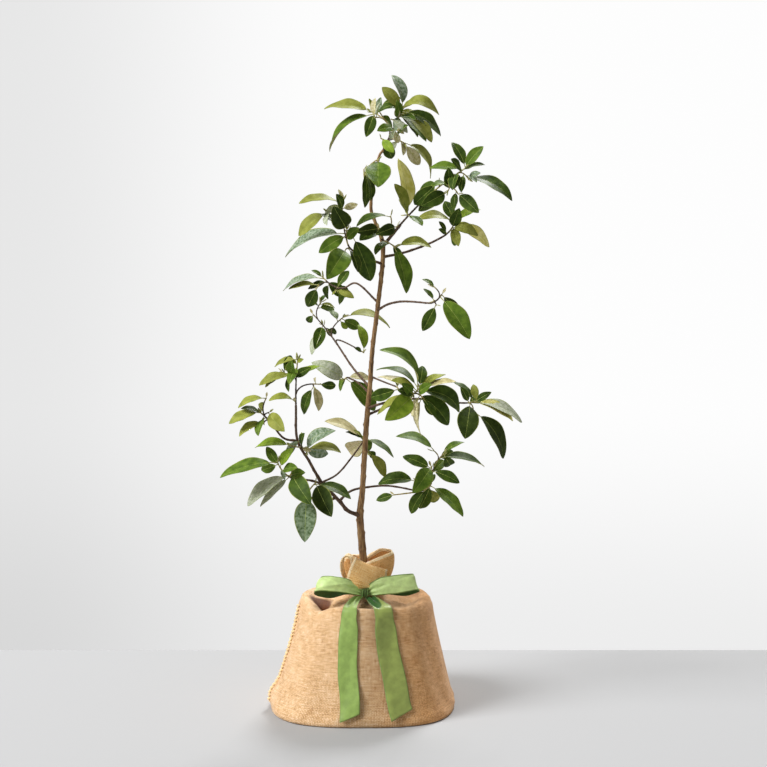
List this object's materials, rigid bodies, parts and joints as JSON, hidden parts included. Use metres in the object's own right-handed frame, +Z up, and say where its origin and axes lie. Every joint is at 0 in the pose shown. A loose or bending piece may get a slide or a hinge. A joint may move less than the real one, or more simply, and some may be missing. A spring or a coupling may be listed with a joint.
{
  "type": "potted avocado tree",
  "caption": "Slender young avocado tree with open tufts of leaves, in a burlap-wrapped pot tied at the neck with a ribbon bow.",
  "frame": {"origin": "centre of the flat underside of the wrapped pot", "axes": "+Z up the trunk, -Y towards the front of the bow, +X to the right seen from the front"},
  "size_m": [0.4992, 0.3161, 1.0401],
  "materials": {
    "bark": "thin reddish-brown bark, finely ridged, matte",
    "foliage": "leathery green leaves, glossy above, paler and dull below",
    "burlap": "coarse natural jute weave, matte",
    "ribbon": "olive-green satin"
  },
  "bodies": {
    "root": {"sack_pot": "burlap", "sack_neck": "burlap", "ribbon_band": "ribbon", "ribbon_knot": "ribbon", "ribbon_loop_left": "ribbon", "ribbon_loop_right": "ribbon", "ribbon_tail_left": "ribbon", "ribbon_tail_right": "ribbon", "trunk": "bark", "bough_low_left": "bark", "bough_left_upright": "bark", "bough_low_right": "bark", "bough_mid_back": "bark", "bough_left_outer": "bark", "bough_left_inner": "bark", "bough_low_outer": "bark", "bough_low_front": "bark", "bough_left_thin": "bark", "bough_left_lower": "bark", "bough_right_mid": "bark", "bough_left_mid": "bark", "bough_left_high": "bark", "bough_right_high": "bark", "bough_upper_right": "bark", "bough_right_low": "bark", "bough_right_outer": "bark", "bough_right_thin": "bark", "leaves_top": "foliage", "leaves_leader": "foliage", "leaves_upper_right": "foliage", "leaves_right_high": "foliage", "leaves_middle": "foliage", "leaves_left_high": "foliage", "leaves_left_mid": "foliage", "leaves_right_mid": "foliage", "leaves_left_thin": "foliage", "leaves_left_lower": "foliage", "leaves_left_upright": "foliage", "leaves_left_outer": "foliage", "leaves_left_inner": "foliage", "leaves_low_left": "foliage", "leaves_low_front": "foliage", "leaves_mid_back": "foliage", "leaves_right_low": "foliage", "leaves_right_inner": "foliage", "leaves_right_outer": "foliage", "leaves_low_right": "foliage"}
  },
  "joints": []
}
